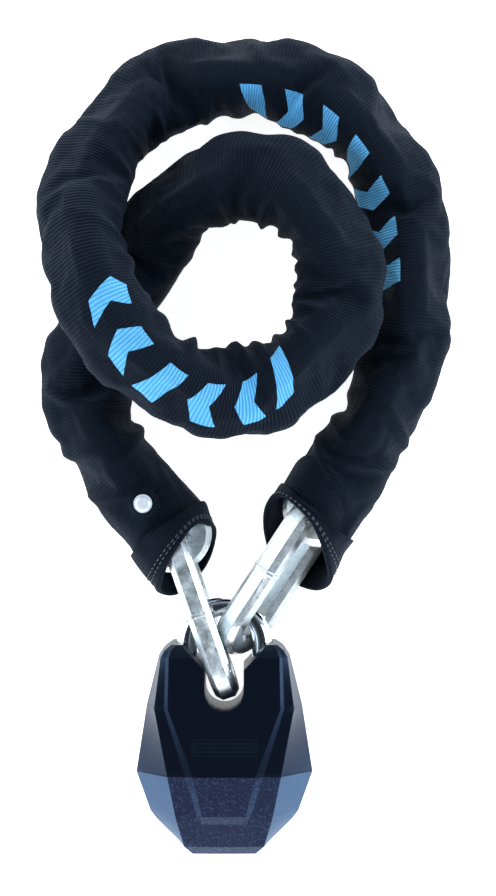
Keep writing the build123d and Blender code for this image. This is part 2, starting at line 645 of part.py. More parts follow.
pieces["end_link_left"] = make_link(*links[0], end_inner, weld=True)
for i, placement in enumerate(links[1:-1], start=1):
    pieces["chain_link_%02d" % i] = make_link(*placement, link_inner, weld=False)
pieces["end_link_right"] = make_link(*links[-1], end_inner, weld=True)

for name, piece in pieces.items():
    piece.part.label = name
    export_step(piece.part, "parts/" + name + ".step")
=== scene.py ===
# Chain lock lying on the floor (z = 0), its chain in a loose fabric sleeve. +Z is up.
# The sleeve leaves the left mouth (low x), coils through +Y, crosses over itself and comes
# back to the right mouth. Shapes are worked out in millimetres and stored in metres.
# Scene units (lights, camera, bump heights) are metres.
import bpy
import json
import math
import numpy as np
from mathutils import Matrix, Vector


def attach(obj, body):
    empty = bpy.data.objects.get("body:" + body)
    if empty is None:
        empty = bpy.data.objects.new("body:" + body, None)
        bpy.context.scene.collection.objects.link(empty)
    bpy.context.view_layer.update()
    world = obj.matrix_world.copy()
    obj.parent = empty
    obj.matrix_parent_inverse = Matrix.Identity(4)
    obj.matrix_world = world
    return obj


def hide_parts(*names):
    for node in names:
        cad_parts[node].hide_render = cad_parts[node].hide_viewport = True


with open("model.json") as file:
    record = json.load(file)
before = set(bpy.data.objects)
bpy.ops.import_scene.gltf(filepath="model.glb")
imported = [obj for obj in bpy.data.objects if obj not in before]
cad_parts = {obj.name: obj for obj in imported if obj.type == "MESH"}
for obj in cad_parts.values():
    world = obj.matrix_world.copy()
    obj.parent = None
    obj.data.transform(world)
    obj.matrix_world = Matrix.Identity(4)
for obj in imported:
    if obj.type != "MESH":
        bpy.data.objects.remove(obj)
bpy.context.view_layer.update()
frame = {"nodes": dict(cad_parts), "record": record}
nodes = frame["nodes"]

MM = 0.001
UP = np.array([0.0, 0.0, 1.0])
ROWS, COLS = 720, 96     # sleeve grid: along the path, round the tube
TUBE_RADIUS = 22.0       # scales the tube towards each mouth's radius
ARC_RADIUS = 22.2        # flat patches, and turning angles into mm round the tube
FLOOR_GAP = 0.25         # least height of the fabric

# Sleeve centreline stations (mm): x, y, z, then the direction x, y, z.
PATH = np.array([
    (-18.7191, 94.4033, 24.0080, -0.541528, 0.839661, 0.041429),
    (-31.1342, 112.3286, 24.0532, -0.595716, 0.802330, -0.037285),
    (-49.1980, 136.2750, 23.5136, -0.582013, 0.813179, -0.000291),
    (-63.7201, 162.4207, 23.7101, -0.341663, 0.939790, 0.007860),
    (-67.1592, 191.9220, 23.6391, 0.137367, 0.990353, -0.018221),
    (-56.3913, 219.6760, 22.7176, 0.517108, 0.855659, -0.021160),
    (-40.1837, 244.8270, 24.3347, 0.544605, 0.825876, 0.146062),
    (-21.8975, 267.4684, 31.1695, 0.708245, 0.641680, 0.294339),
    (2.9221, 280.5726, 40.7855, 0.930196, 0.179918, 0.319945),
    (30.7643, 275.5049, 48.4307, 0.840978, -0.515073, 0.165698),
    (49.9934, 253.2001, 50.9915, 0.420918, -0.906659, 0.028253),
    (54.9405, 223.9862, 51.4630, -0.111083, -0.993592, 0.020856),
    (43.2448, 196.8869, 53.1120, -0.640719, -0.761321, 0.099345),
    (19.0795, 180.3869, 57.7692, -0.925854, -0.313384, 0.211152),
    (-9.5645, 178.9707, 65.2490, -0.938576, 0.216128, 0.269007),
    (-35.2631, 192.0898, 72.4437, -0.757260, 0.627093, 0.182516),
    (-54.4773, 214.7536, 74.3789, -0.512779, 0.854914, -0.078604),
    (-65.4981, 242.4708, 66.9447, -0.192080, 0.903939, -0.382098),
    (-66.7274, 269.0805, 53.4123, 0.104356, 0.867759, -0.485906),
    (-59.2670, 294.3450, 39.2932, 0.397734, 0.807662, -0.435304),
    (-42.4752, 316.4026, 28.3656, 0.723768, 0.631543, -0.278053),
    (-16.8085, 330.4226, 22.9942, 0.953785, 0.287981, -0.085802),
    (12.8334, 333.7265, 22.3742, 0.997775, -0.060802, 0.027353),
    (41.8545, 326.8573, 23.5950, 0.914365, -0.403113, 0.037892),
    (66.1013, 309.5567, 24.1114, 0.680744, -0.732517, -0.002583),
    (82.2800, 284.4604, 23.7401, 0.400518, -0.916126, -0.017295),
    (90.5021, 255.6949, 23.2862, 0.154287, -0.987968, -0.010708),
    (91.8774, 225.7802, 23.1691, -0.058224, -0.998299, 0.003147),
    (87.2095, 196.1915, 23.4356, -0.250295, -0.968082, 0.013024),
    (77.0082, 168.0251, 23.7934, -0.426822, -0.904307, 0.007205),
    (62.0588, 142.0438, 23.7633, -0.554338, -0.832266, -0.006592),
    (45.0985, 117.2972, 23.8509, -0.546065, -0.837376, 0.024787),
    (36.1321, 101.7335, 24.8006, -0.433745, -0.896853, 0.086719),
])


# ---- small helpers -------------------------------------------------------
def assign(target, **values):
    for key, value in values.items():
        setattr(target, key, value)


def smooth(low, high, x):
    t = np.clip((x - low) / (high - low), 0, 1)
    return t * t * (3 - 2 * t)


def norm(v):
    return np.linalg.norm(v, axis=-1, keepdims=True)


def dot(a, b):
    return np.sum(a * b, -1, keepdims=True)


def split(points, centre, direction):
    """Distance of points along a direction, and their offset square to it."""
    rel = points - centre
    along = dot(rel, direction)
    return along, rel - along * direction


def wrap(angle):
    return np.angle(np.exp(1j * angle))


def waves(generator, angle, counts, heights, lean=0.0):
    """Sum of cosines round the tube with random phases."""
    phases = generator.uniform(0, 6.28, 3)
    return sum(h * np.cos(k * angle + p + lean) for k, h, p in zip(counts, heights, phases))


def blur_rows(grid, rounds=1):
    """Average each inner row with its neighbours, in place."""
    for _ in range(rounds):
        grid[1:-1] = (grid[:-2] + 2 * grid[1:-1] + grid[2:]) / 4


def blurred(grid):
    """The grid averaged round the tube, then along it."""
    out = (np.roll(grid, 1, 1) + 2 * grid + np.roll(grid, -1, 1)) / 4
    blur_rows(out)
    return out


# ---- centreline ----------------------------------------------------------
def hermite_path(stations, step=0.5, cuts=24):
    """Even arc lengths and points of the curve through the stations."""
    points = []
    for start, end in zip(stations[:-1], stations[1:]):
        p0, t0, p1, t1 = start[:3], start[3:], end[:3], end[3:]
        chord = np.linalg.norm(p1 - p0)
        for i in range(cuts):
            u = i / cuts
            h00, h10 = 2 * u**3 - 3 * u**2 + 1, u**3 - 2 * u**2 + u
            h01, h11 = -2 * u**3 + 3 * u**2, u**3 - u**2
            points.append(h00 * p0 + h10 * chord * t0 + h01 * p1 + h11 * chord * t1)
    points.append(stations[-1][:3])
    points = np.array(points)
    s = np.r_[0, np.cumsum(np.linalg.norm(np.diff(points, axis=0), axis=1))]
    even = np.linspace(0, s[-1], int(round(s[-1] / step)) + 1)
    return even, np.stack([np.interp(even, s, points[:, i]) for i in range(3)], 1)


PATH_S, PATH_POINT = hermite_path(PATH)
S_END = float(PATH_S[-1])
PATH_DIRECTION = np.gradient(PATH_POINT, PATH_S, axis=0)
blur_rows(PATH_DIRECTION, 6)
PATH_DIRECTION /= norm(PATH_DIRECTION)
PATH_CURVE = np.gradient(PATH_DIRECTION, PATH_S, axis=0)
blur_rows(PATH_CURVE, 40)


def path_at(s):
    """Centre, direction, local up, local side and curvature at arc lengths s.

    The side is to the right looking along the path, which runs straight beyond its ends.
    """
    s = np.asarray(s, float)
    inside = np.clip(s, 0, S_END)

    def sample(grid):
        return np.stack([np.interp(inside, PATH_S, grid[:, i]) for i in range(3)], -1)

    direction = sample(PATH_DIRECTION)
    direction /= norm(direction)
    centre = sample(PATH_POINT) + direction * (s - inside)[..., None]
    up = UP - direction * direction[..., 2:3]
    up /= norm(up)
    return centre, direction, up, np.cross(direction, up), sample(PATH_CURVE)


def tube_point(s, angle, radius):
    centre, _, up, side, _ = path_at(s)
    ray = np.cos(angle)[..., None] * up + np.sin(angle)[..., None] * side
    return centre + ray * radius[..., None]


ROW_S = np.linspace(0, S_END, ROWS)
COL_ANGLE = np.arange(COLS) / COLS * 2 * np.pi     # 0 is local up, a quarter turn is the side
GRID_S, GRID_ANGLE = np.meshgrid(ROW_S, COL_ANGLE, indexing="ij")


# ---- meshes --------------------------------------------------------------
def add_object(name, data):
    obj = bpy.data.objects.new(name, data)
    bpy.context.scene.collection.objects.link(obj)
    return obj


def grid_mesh(name, points, closed=True):
    """Smooth quad mesh over a grid of points (mm), closed round its second axis."""
    rows, cols = points.shape[:2]
    index = np.arange(rows * cols).reshape(rows, cols)
    a, b = index[:-1], index[1:]
    if closed:
        quads = np.stack([a, np.roll(a, -1, 1), np.roll(b, -1, 1), b], -1).reshape(-1, 4)
    else:
        quads = np.stack([a[:, :-1], a[:, 1:], b[:, 1:], b[:, :-1]], -1).reshape(-1, 4)
    mesh = bpy.data.meshes.new(name)
    mesh.vertices.add(rows * cols)
    mesh.vertices.foreach_set("co", (points.reshape(-1, 3) * MM).astype(np.float32).ravel())
    mesh.loops.add(quads.size)
    mesh.loops.foreach_set("vertex_index", quads.ravel().astype(np.int32))
    mesh.polygons.add(len(quads))
    mesh.polygons.foreach_set("loop_start", (np.arange(len(quads)) * 4).astype(np.int32))
    mesh.polygons.foreach_set("loop_total", np.full(len(quads), 4, np.int32))
    mesh.update(calc_edges=True)
    mesh.validate()
    mesh.polygons.foreach_set("use_smooth", np.ones(len(mesh.polygons), bool))
    return add_object(name, mesh)


def fabric_coordinates(obj, along):
    """Store the distance along the tube (mm) and the angle round it, for the fabric shader."""
    angle = np.broadcast_to(COL_ANGLE, along.shape)
    for name, values in (("along", along), ("cosa", np.cos(angle)), ("sina", np.sin(angle))):
        layer = obj.data.attributes.new(name, "FLOAT", "POINT")
        layer.data.foreach_set("value", np.asarray(values, np.float32).ravel())


def read_triples(items, field, kind=float):
    values = np.zeros(len(items) * 3, kind)
    items.foreach_get(field, values)
    return values.reshape(-1, 3)


# ---- chain inside: least radius of the fabric ----------------------------
LINKS = ["chain_link_%02d" % i for i in range(1, 26)] + ["end_link_left", "end_link_right"]
CHAIN_OVERRUN = 30       # path searched beyond each end
CHAIN_WINDOW = 62        # path samples searched either side of a link's centre
SAMPLES_PER_MM2 = 1.6
CHAIN_CLEARANCE = 0.42


def link_points(link):
    """Centre of a link's vertices, and those vertices with points spread over its faces (mm)."""
    verts = read_triples(link.data.vertices, "co") / MM
    link.data.calc_loop_triangles()
    tris = read_triples(link.data.loop_triangles, "vertices", int)
    a, b, c = (verts[tris[:, k]] for k in range(3))
    size = np.sqrt(np.linalg.norm(np.cross(b - a, c - a), axis=1) / 2)
    counts = np.maximum(2, (size**2 * SAMPLES_PER_MM2).astype(int))
    k = np.repeat(np.arange(len(a)), counts)
    generator = np.random.default_rng(5)
    u, v = generator.random(len(k)), generator.random(len(k))
    beyond = u + v > 1
    u[beyond], v[beyond] = 1 - u[beyond], 1 - v[beyond]
    spread = a[k] + (b[k] - a[k]) * u[:, None] + (c[k] - a[k]) * v[:, None]
    return verts.mean(0), np.vstack([verts, spread])


def chain_reach():
    """Largest radius of the chain with its clearance, on the sleeve grid."""
    reach = np.zeros((ROWS, COLS))
    path_s = np.linspace(-CHAIN_OVERRUN, S_END + CHAIN_OVERRUN,
                         int(S_END) + 2 * CHAIN_OVERRUN + 1)
    centre, direction, up, side, _ = path_at(path_s)
    for name in LINKS:
        middle, points = link_points(nodes[name])
        near = np.argsort(np.linalg.norm(centre - middle, axis=1))[0]
        first, last = max(0, near - CHAIN_WINDOW), min(len(path_s), near + CHAIN_WINDOW)
        gaps = np.linalg.norm(points[:, None, :] - centre[None, first:last, :], axis=2)
        q = gaps.argmin(1) + first
        along, rel = split(points, centre[q], direction[q])
        radius = np.linalg.norm(rel, axis=1)
        angle = np.arctan2(dot(rel, side[q]), dot(rel, up[q]))[:, 0] % (2 * np.pi)
        row = np.round((path_s[q] + along[:, 0]) / S_END * (ROWS - 1)).astype(int)
        col = np.round(angle / (2 * np.pi) * COLS).astype(int) % COLS
        ok = (row >= 0) & (row < ROWS)
        np.maximum.at(reach, (row[ok], col[ok]), radius[ok])
    # widen each peak to its neighbours
    for _ in range(2):
        reach = np.maximum.reduce([reach, np.roll(reach, 1, 1), np.roll(reach, -1, 1)])
        reach[1:-1] = np.maximum.reduce([reach[1:-1], reach[:-2], reach[2:]])
    return reach + CHAIN_CLEARANCE


def taut(reach, start=23.0, rounds=90, pull=0.035):
    """Fabric radius pulled in until the chain holds it out."""
    radius = np.full(reach.shape, start)
    for _ in range(rounds):
        radius = np.maximum(reach, blurred(radius) - pull)
    for _ in range(2):
        radius = blurred(radius)
    return np.maximum(radius, reach)


# ---- wrinkles ------------------------------------------------------------
def random_folds():
    """Folds on the inside of bends: s, angle, height, width, slant."""
    rng = np.random.default_rng(7)
    folds = []
    s = 30.0
    while s < S_END - 30:
        folds.append((s, rng.uniform(-0.7, 0.7), rng.uniform(0.45, 1.2),
                      rng.uniform(2.2, 5.2), rng.uniform(-10, 10)))
        s += rng.uniform(7.5, 19.0)
    return folds


FOLDS = random_folds()
FOLD_GAIN, CREASE_GAIN = 4.4, 1.75

# Larger soft folds: s (mm), angle (rad), half length (mm), half width (rad), height (mm), slant
CREASES = [
    (50, -1.1, 9, 0.7, 1.9, 1.6), (62, 0.9, 10, 0.6, 1.6, -1.4), (74, -1.3, 9, 0.6, 2.2, 1.2),
    (88, 1.2, 12, 0.5, 1.2, -1.0), (97, -0.7, 8, 0.6, 1.5, 2.0), (132, -1.2, 12, 0.5, 1.4, 1.0),
    (120, 1.1, 9, 0.5, 1.6, -1.2), (152, 0.7, 9, 0.5, 1.2, 1.4),
    (S_END - 42, 0.7, 8, 0.9, 2.4, 2.2), (S_END - 52, -0.5, 7, 0.8, 2.0, -1.8),
    (S_END - 60, 1.0, 8, 0.6, 2.0, 1.4), (S_END - 72, -1.2, 9, 0.5, 1.8, 1.2),
    (S_END - 84, 0.2, 9, 0.8, 1.6, 2.4), (S_END - 104, 0.9, 12, 0.6, 1.8, -1.6),
    (S_END - 128, -0.4, 9, 0.7, 1.3, 2.0), (S_END - 150, 1.0, 11, 0.6, 1.8, 1.4),
    (S_END - 172, 0.1, 9, 0.7, 1.2, -2.0),
    (505, 0.9, 9, 0.7, 1.9, 1.5), (524, -0.3, 8, 0.8, 1.3, -2.2), (548, 0.8, 10, 0.6, 2.0, 1.8),
    (566, -0.9, 9, 0.6, 1.4, 1.2), (590, 0.7, 9, 0.7, 2.0, -1.6), (606, -0.2, 8, 0.8, 1.3, 2.0),
    (628, 0.9, 9, 0.6, 1.8, 1.4), (655, -0.8, 9, 0.6, 1.2, -1.4), (684, 0.6, 10, 0.7, 1.6, 1.8),
    (712, -0.5, 10, 0.6, 1.3, -1.6), (740, 0.8, 10, 0.6, 1.6, 1.6), (772, -0.3, 9, 0.6, 1.2, 2.0),
    (200, 1.0, 9, 0.6, 1.8, 1.6), (232, 0.5, 9, 0.8, 1.8, -2.0), (262, 1.0, 9, 0.6, 2.2, 1.6),
    (296, 0.6, 9, 0.8, 2.0, 1.8), (322, 1.0, 8, 0.7, 2.2, -1.6), (350, 0.9, 9, 0.7, 2.2, 1.6),
    (392, 1.1, 9, 0.6, 2.0, -1.5), (430, 1.0, 9, 0.7, 2.0, 1.5), (463, 1.1, 9, 0.6, 1.8, -1.2),
]
RIVETS = ((35.0, 0.0), (S_END - 31.0, -2.09))     # s (mm), angle (rad)


def wrinkle(s, angle):
    """How far the loose fabric stands off the taut shape (mm)."""
    _, _, up, side, curve = path_at(s)
    bend = norm(curve)
    inward = curve / np.maximum(bend, 1e-6)
    # angle measured from the inside of the bend, where tighter bends fold more
    rel = wrap(angle - np.arctan2(dot(inward, side), dot(inward, up))[..., 0])
    inner = smooth(-0.15, 0.9, np.cos(rel)) * np.clip(bend[..., 0] * 48, 0.12, 1.2)
    height = np.zeros(s.shape)
    for s0, turn, amp, width, slant in FOLDS:
        x = s - s0 - slant * (rel - turn) * 0.7 + 1.1 * np.sin(2.3 * rel + s0)
        w = width * (1.0 + 0.35 * (rel - turn) ** 2)
        # a ridge with a shallow trough either side
        lobe = np.exp(-np.abs(x / w) ** 1.5) - 0.30 * np.exp(-0.5 * (x / (w * 2.4)) ** 2)
        height = height + amp * FOLD_GAIN * lobe * inner * (0.5 + 0.5 * np.cos(0.8 * (rel - turn)))
    for s0, angle0, half_length, half_width, amp, slant in CREASES:
        turn = wrap(angle - angle0)
        x = (s - s0 + slant * 4.0 * turn) / half_length * 2.6
        ridge = np.exp(-np.abs(x) ** 1.4) - 0.35 * np.exp(-0.5 * (x / 2.2) ** 2)
        height = height + CREASE_GAIN * amp * ridge * np.exp(-0.5 * (turn / half_width) ** 2)
    # long slow waves and a finer ripple
    return (height + 0.55 * np.sin(s / 9.0 + 3 * angle) * np.sin(s / 23.0)
            + 0.22 * np.sin(s / 5.3 - 2 * angle + 1.3 * np.sin(s / 17.0)))


def calm(s, angle):
    """0 beside the rivets and at the ends, where the fabric lies flat, 1 elsewhere."""
    free = np.ones(s.shape)
    for s0, angle0 in RIVETS:
        across = wrap(angle - angle0) * ARC_RADIUS
        free = free * smooth(5.0, 9.5, np.hypot(s - s0, across))
    return free * smooth(6, 22, s) * smooth(6, 22, S_END - s)


# ---- cloth simulation of the sleeve between its cuffs --------------------
SIM_SCALE = 20.0         # simulated larger, where Blender's cloth distances suit it
SIM_FRAMES = 14
SIM_MARGIN = 22          # length left out at each end
CORE_INSET = 0.25
PIN_STEPS = 20


def simulate(start_radius, core_radius):
    """Settle slightly oversize fabric over the chain; gives arc lengths and points (mm)."""
    rows = np.nonzero((ROW_S > SIM_MARGIN) & (ROW_S < S_END - SIM_MARGIN))[0][::2]
    row_s = ROW_S[rows]
    s, angle = np.meshgrid(row_s, COL_ANGLE[::2], indexing="ij")
    start = tube_point(s, angle, start_radius[rows][:, ::2])
    cloth = grid_mesh("sim_sleeve", start * SIM_SCALE)
    core_points = tube_point(s, angle, core_radius[rows][:, ::2] - CORE_INSET)
    core = grid_mesh("sim_core", core_points * SIM_SCALE)
    core.modifiers.new("collide", "COLLISION")
    assign(core.collision, thickness_outer=0.003, cloth_friction=20)
    corners = np.array([[(x, y, 0) for x in (-200, 250)] for y in (-100, 450)], float)
    ground = grid_mesh("sim_floor", corners * SIM_SCALE, closed=False)
    ground.modifiers.new("collide", "COLLISION")

    # pinned towards both ends and beside the rivets
    pin = cloth.vertex_groups.new(name="pin")
    hold = 1 - smooth(0, 12, np.minimum(s - row_s[0], row_s[-1] - s))
    weight = np.clip(np.maximum(hold, 1 - calm(s, angle)), 0, 1).ravel()
    for q in range(PIN_STEPS):
        chosen = np.nonzero((weight > q / PIN_STEPS) & (weight <= (q + 1) / PIN_STEPS))[0]
        if len(chosen):
            pin.add([int(i) for i in chosen], (q + 1) / PIN_STEPS, "REPLACE")

    modifier = cloth.modifiers.new("cloth", "CLOTH")
    assign(modifier.settings, quality=6, mass=0.3,
           tension_stiffness=30, compression_stiffness=30,
           shear_stiffness=12, bending_stiffness=2.0,
           tension_damping=10, compression_damping=10,
           shear_damping=8, bending_damping=2, air_damping=6,
           shrink_min=-0.05, vertex_group_mass="pin", pin_stiffness=4)
    modifier.settings.effector_weights.gravity = 0.6
    assign(modifier.collision_settings, distance_min=0.006, collision_quality=3,
           use_self_collision=False)
    scene = bpy.context.scene
    for span in (scene, modifier.point_cache):
        assign(span, frame_start=1, frame_end=SIM_FRAMES)
    for number in range(1, SIM_FRAMES + 1):
        scene.frame_set(number)
    settled = cloth.evaluated_get(bpy.context.evaluated_depsgraph_get())
    points = np.zeros(start.size, np.float32)
    settled.data.vertices.foreach_get("co", points)
    points = points.reshape(start.shape).astype(float) / (MM * SIM_SCALE)
    scene.frame_set(1)
    for obj in (cloth, core, ground):
        mesh = obj.data
        bpy.data.objects.remove(obj)
        bpy.data.meshes.remove(mesh)
    return row_s, points


def refine(sim_s, sim_points):
    """Simulated points brought back to the full sleeve grid and blurred once."""
    at = np.interp(ROW_S, sim_s, np.arange(len(sim_s)))
    i0 = np.clip(np.floor(at).astype(int), 0, len(sim_s) - 2)
    f = (at - i0)[:, None, None]
    rows = sim_points[i0] * (1 - f) + sim_points[i0 + 1] * f
    full = np.zeros((ROWS, COLS, 3))
    full[:, 0::2] = rows
    full[:, 1::2] = (rows + np.roll(rows, -1, 1)) / 2
    return blurred(full)


def build_surface(deepest=-1.2, loosest=28.0):
    """Outer fabric surface between the mouths, before they are shaped (mm)."""
    reach = chain_reach()
    free = calm(GRID_S, GRID_ANGLE)
    snug = taut(reach) * free + np.maximum(ARC_RADIUS, reach) * (1 - free)
    loose = np.maximum(wrinkle(GRID_S, GRID_ANGLE), deepest)
    radius = np.maximum(snug + loose * free, reach)
    points = tube_point(GRID_S, GRID_ANGLE, radius)
    settled = refine(*simulate(radius, reach))
    use = (smooth(24, 40, ROW_S) * smooth(24, 40, S_END - ROW_S))[:, None, None]
    points = points * (1 - use) + settled * use
    # keep outside the chain, not too loose, and above the floor
    centre, direction, _, _, _ = path_at(GRID_S)
    along, out = split(points, centre, direction)
    r = norm(out)
    kept = np.minimum(np.maximum(r, reach[..., None]), loosest)
    points = centre + along * direction + out / r * kept
    points[..., 2] = np.maximum(points[..., 2], FLOOR_GAP)
    return points


# ---- mouths --------------------------------------------------------------
# sign: outward along the path; lean_up, lean_side: slope of the rim; wave: rim waviness (mm)
MOUTHS = {
    "left": dict(sign=-1, lean_up=0.50, lean_side=0.35, radius=19.7, wave=0.9, seed=3,
                 cuff_width=19.0),
    "right": dict(sign=1, lean_up=0.60, lean_side=0.50, radius=22.0, wave=1.3, seed=11,
                  cuff_width=18.0),
}
RIM_ZONE = 27.0          # length drawn out to the slanted rim
FLARE_ZONE = 15          # length over which the radius changes to the mouth's


def from_mouth(which, s):
    """Arc length to distance from a mouth, or back again."""
    return s if which == "left" else S_END - s


def rim_out(mouth, angle):
    """How far the rim reaches out at each angle (mm)."""
    r = mouth["radius"]
    wave = waves(np.random.default_rng(mouth["seed"]), angle, (2, 3, 5), (0.9, 0.6, 0.35))
    slant = mouth["lean_up"] * r * np.cos(angle) + mouth["lean_side"] * r * np.sin(angle)
    return -slant + mouth["wave"] * wave


def shape_mouths(surface):
    """Draw the ends out to the slanted rims and to their radii; also gives the new s."""
    new_s = GRID_S
    widening = 0
    for which, mouth in MOUTHS.items():
        near = from_mouth(which, GRID_S)
        t = np.clip(1 - near / RIM_ZONE, 0, 1)
        new_s = new_s + mouth["sign"] * (rim_out(mouth, GRID_ANGLE) * t**1.5)
        widening = widening + (mouth["radius"] - TUBE_RADIUS) * (1 - smooth(0, FLARE_ZONE, near))
    centre, direction, up, side, _ = path_at(GRID_S)
    local = surface - centre
    scale = (1 + widening / TUBE_RADIUS)[..., None]
    new_centre, new_direction, new_up, new_side, _ = path_at(new_s)
    points = (new_centre + dot(local, up) * scale * new_up
              + dot(local, side) * scale * new_side + dot(local, direction) * new_direction)
    points[..., 2] = np.maximum(points[..., 2], FLOOR_GAP)
    return points, new_s


def offset(points, s, outward, onward):
    """Points moved away from the axis and along it."""
    centre, direction, _, _, _ = path_at(s)
    along, out = split(points, centre, direction)
    r = norm(out)
    return centre + (along + onward) * direction + out / r * (r + outward)


def rim_rows(edge, edge_s, sign, profile):
    """One row per profile entry, moved from the edge row."""
    outward, beyond = np.array(profile).T[:2, :, None, None]
    return offset(edge, edge_s, outward, sign * beyond)


# ---- sleeve --------------------------------------------------------------
# The edge rolls over the rim and runs back inside: outward from the edge, beyond the rim (mm).
SLEEVE_TURN = [(0.0, 0.25), (-0.6, 0.7), (-1.2, 0.5), (-1.2, -2.0),
               (-1.2, -6.0), (-1.2, -11.0), (-1.2, -17.0), (-1.2, -24.0)]
TURN_SHIFT = 60          # moves the weave of the turned-in part along

outer, outer_s = shape_mouths(build_surface())


def build_sleeve():
    shift = np.abs(np.array(SLEEVE_TURN)[:, 1:]) + TURN_SHIFT
    left = rim_rows(outer[0], outer_s[0], -1, SLEEVE_TURN)
    right = rim_rows(outer[-1], outer_s[-1], 1, SLEEVE_TURN)
    obj = grid_mesh("sleeve_fabric_tube", np.concatenate([left[::-1], outer, right], 0))
    fabric_coordinates(obj, np.concatenate(
        [(outer_s[0] + shift)[::-1], outer_s, outer_s[-1] + shift], 0))
    return obj


# ---- cuffs: doubled fabric round each mouth ------------------------------
# From the rim round to the lining: outward, beyond the rim, fabric run from the rim (mm).
CUFF_TURN = [(0.75, 0.7, 0.7), (0.2, 1.15, 1.6), (-0.5, 1.3, 2.4), (-1.3, 1.0, 3.4),
             (-1.75, 0.2, 4.4), (-1.85, -1.5, 6.0), (-1.85, -6.0, 10.5), (-1.75, -12.0, 16.5)]
CUFF_ROWS = 44
CUFF_UNDER_ROWS = 6      # rows turned under at the back edge
CUFF_THICKNESS = 0.8


def build_cuff(which):
    """Cuff object, its top surface, and the distance of each point from the rim (mm)."""
    mouth = MOUTHS[which]
    width = mouth["cuff_width"]
    part, angle = np.meshgrid(np.linspace(0, 1, CUFF_ROWS), COL_ANGLE, indexing="ij")
    generator = np.random.default_rng(mouth["seed"] + 5)
    # how far behind the rim the wavy back edge lies
    back = width + waves(generator, COL_ANGLE, (1, 2, 4), (1.5, 1.2, 0.5))
    dist = part * back[None, :]
    # sample the sleeve's outer surface below the cuff
    at = np.clip(from_mouth(which, dist) / S_END * (ROWS - 1), 0, ROWS - 1.001)
    i0 = np.floor(at).astype(int)
    f = at - i0
    j = np.broadcast_to(np.arange(COLS)[None, :], i0.shape)
    base = outer[i0, j] * (1 - f[..., None]) + outer[i0 + 1, j] * f[..., None]
    base_s = outer_s[i0, j] * (1 - f) + outer_s[i0 + 1, j] * f
    # lift: a hem roll at the rim, a loose standing back edge with soft puckers
    pucker = waves(generator, angle, (5, 8, 13), (0.35, 0.28, 0.16), lean=2.0 * part)
    lift = (0.9 + 0.9 * smooth(0.55, 1.0, part) + pucker * smooth(0.1, 0.9, part)
            + 0.35 * np.exp(-((part * width / 1.6) ** 2)))
    lift = lift + 0.8 * smooth(0.7, 1.0, part) * np.clip(np.cos(angle), 0, 1)
    lift = np.maximum(lift, 0.75)[..., None]
    top = offset(base, base_s, lift, 0.0)
    low = offset(base, base_s, np.maximum(lift - CUFF_THICKNESS, 0.06), 0.0)
    rim = rim_rows(base[0], base_s[0], mouth["sign"], CUFF_TURN)
    back_edge = np.array([top[-1] * (1 - q) + low[-1] * q for q in (0.3, 0.7)])
    under = low[::-1][:CUFF_UNDER_ROWS]
    obj = grid_mesh("cuff_" + which + "_fabric",
                    np.concatenate([rim[::-1], top, back_edge, under], 0))
    rim_run = np.tile(-np.array(CUFF_TURN)[::-1, 2:], (1, COLS))
    fabric_coordinates(obj, np.concatenate(
        [rim_run, dist, np.tile(back, (2, 1)), dist[::-1][:CUFF_UNDER_ROWS]], 0))
    return obj, top, dist


# ---- stitches ------------------------------------------------------------
STITCH_LINES = (3.4, 5.8)          # distance of the thread rows from the rim (mm)
STITCH_PITCH = 3.1
STITCH_RADIUS = 0.36
STITCH_LIFT = 0.12
BEAD_BANDS, BEAD_SIDES = 5, 6


def hem_line(top, dist, d):
    """Closed line on the cuff at distance d from the rim."""
    line = []
    last = len(dist) - 1
    for j in range(COLS):
        k = np.interp(d, dist[:, j], np.arange(len(dist)))
        a = int(k)
        line.append(top[a, j] * (1 - (k - a)) + top[min(a + 1, last), j] * (k - a))
    return np.array(line + line[:1])


def build_stitches(which, top, dist):
    """Two rows of thread round the hem, each stitch a rounded bead lying on the cloth."""
    verts, faces = [], []
    mouth_centre, mouth_direction, _, _, _ = path_at(from_mouth(which, 0.0))
    for d in STITCH_LINES:
        line = hem_line(top, dist, d)
        run = np.r_[0, np.cumsum(np.linalg.norm(np.diff(line, axis=0), axis=1))]
        count = int(run[-1] / STITCH_PITCH)
        at = np.arange(count * 2) / (count * 2) * run[-1]
        marks = np.stack([np.interp(at, run, line[:, i]) for i in range(3)], 1)
        for start, end in zip(marks[0::2], marks[1::2]):
            axis = end - start
            half = np.linalg.norm(axis) * 0.62
            axis = axis / np.linalg.norm(axis)
            centre = (start + end) / 2
            # away from the mouth's axis and square to the stitch
            _, out = split(centre, mouth_centre, mouth_direction)
            out = out - axis * (out @ axis)
            out /= np.linalg.norm(out)
            across = np.cross(axis, out)
            centre = centre + out * STITCH_LIFT
            first = len(verts)
            for a in range(BEAD_BANDS + 1):
                ph = math.pi * a / BEAD_BANDS
                for b in range(BEAD_SIDES):
                    t = 2 * math.pi * b / BEAD_SIDES
                    ring = out * math.cos(t) + across * math.sin(t)
                    verts.append(centre + axis * half * math.cos(ph)
                                 + ring * STITCH_RADIUS * math.sin(ph))
            for a in range(BEAD_BANDS):
                this = first + a * BEAD_SIDES
                following = this + BEAD_SIDES
                for b in range(BEAD_SIDES):
                    c = (b + 1) % BEAD_SIDES
                    faces.append((this + b, this + c, following + c, following + b))
    mesh = bpy.data.meshes.new("stitches_" + which)
    mesh.from_pydata([tuple(v * MM) for v in verts], [], faces)
    mesh.validate()
    mesh.update()
    for polygon in mesh.polygons:
        polygon.use_smooth = True
    return add_object("stitches_" + which, mesh)


sleeve = build_sleeve()
cuffs = {which: build_cuff(which) for which in MOUTHS}
threads = {which: build_stitches(which, *cuffs[which][1:]) for which in MOUTHS}


# ---- materials -----------------------------------------------------------
MATS = {}


def scaled(color, k):
    return tuple(k * x for x in color)


